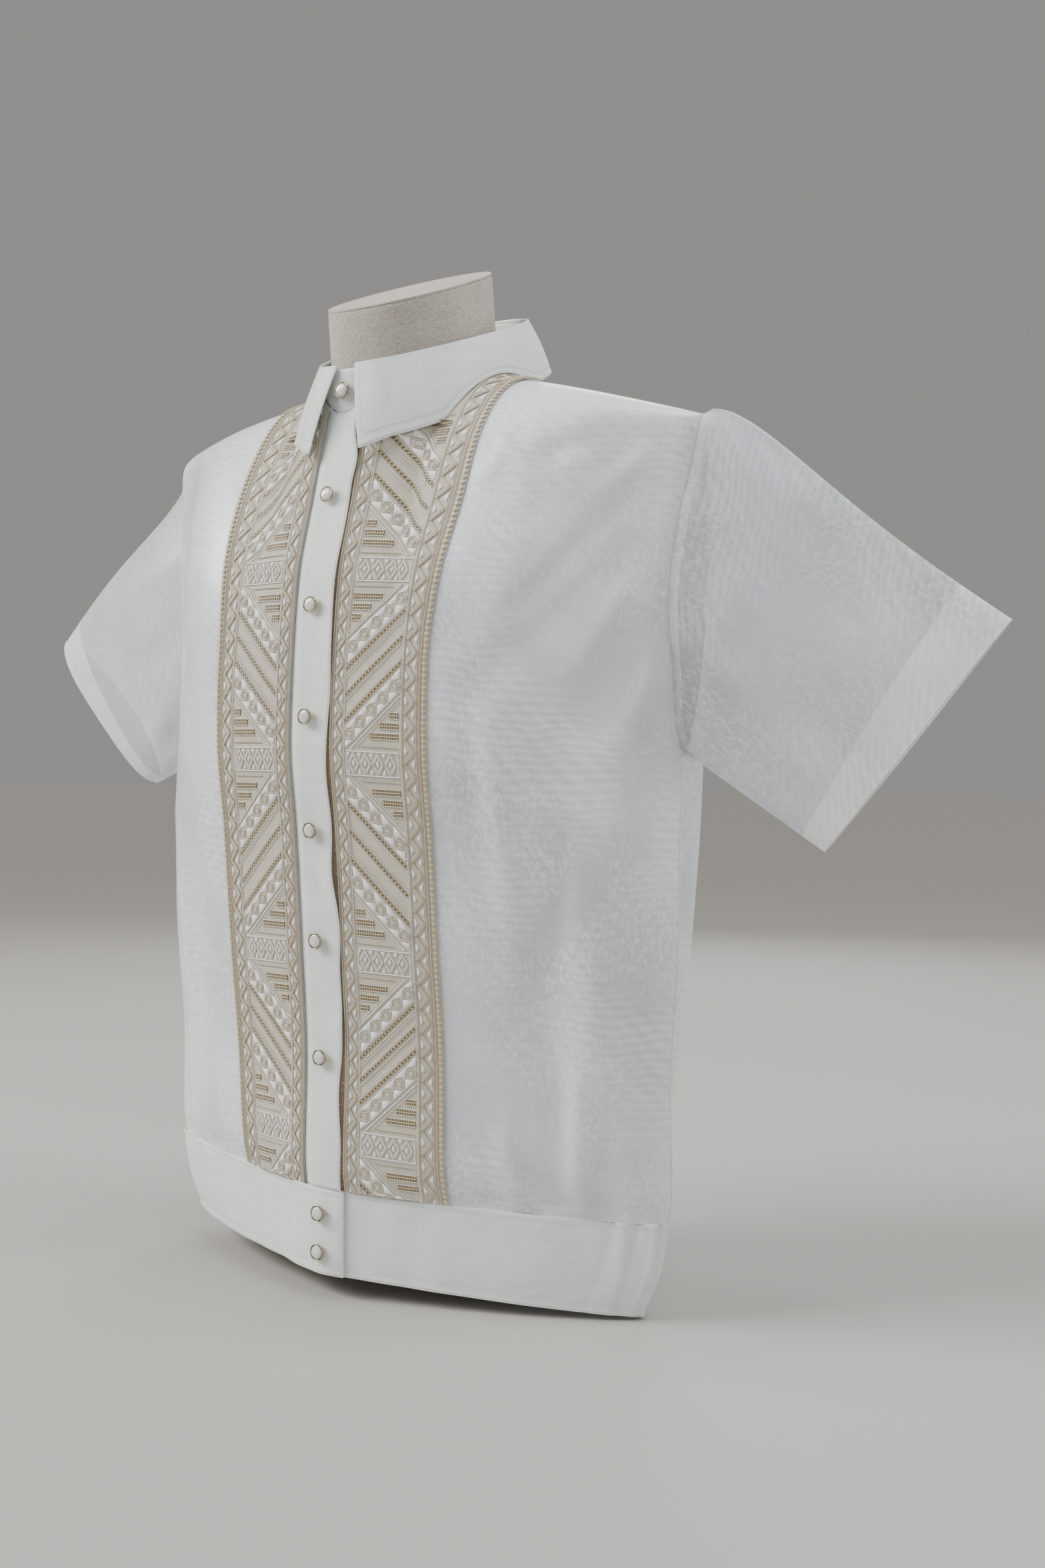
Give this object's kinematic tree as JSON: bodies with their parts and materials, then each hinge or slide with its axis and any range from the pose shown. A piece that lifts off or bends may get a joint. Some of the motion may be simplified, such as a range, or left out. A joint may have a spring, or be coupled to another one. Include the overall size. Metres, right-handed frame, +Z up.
{
  "type": "barong tagalog shirt on dress form",
  "caption": "Sheer short-sleeved barong tagalog shirt with beige openwork embroidered panels, collar, placket and waistband, buttoned on a limbless linen dress form with a flat base.",
  "frame": {"origin": "centre of the dress form's flat base", "axes": "+Z up, front towards -Y, +X to the wearer's left"},
  "size_m": [0.896, 0.2682, 0.7565],
  "materials": {
    "organza": "sheer with a silky sheen and moire",
    "ivory": "opaque satin",
    "lace": "openwork embroidery in beige and ivory thread",
    "linen": "flecked linen twill",
    "metal": "pale gilt, polished",
    "pearl": "pearly"
  },
  "bodies": {
    "root": {"front_right": "organza", "front_left": "organza", "back": "organza", "sleeve_right": "organza", "sleeve_left": "organza", "collar_stand": "ivory", "collar_leaf": "ivory", "placket": "ivory", "placket_under": "ivory", "waistband": "ivory", "panel_right": "lace", "panel_left": "lace", "dress_form": "linen", "button_1": "metal", "pearl_1": "pearl", "button_2": "metal", "pearl_2": "pearl", "button_3": "metal", "pearl_3": "pearl", "button_4": "metal", "pearl_4": "pearl", "button_5": "metal", "pearl_5": "pearl", "button_6": "metal", "pearl_6": "pearl", "button_7": "metal", "pearl_7": "pearl", "button_8": "metal", "pearl_8": "pearl", "button_9": "metal", "pearl_9": "pearl"}
  },
  "joints": []
}
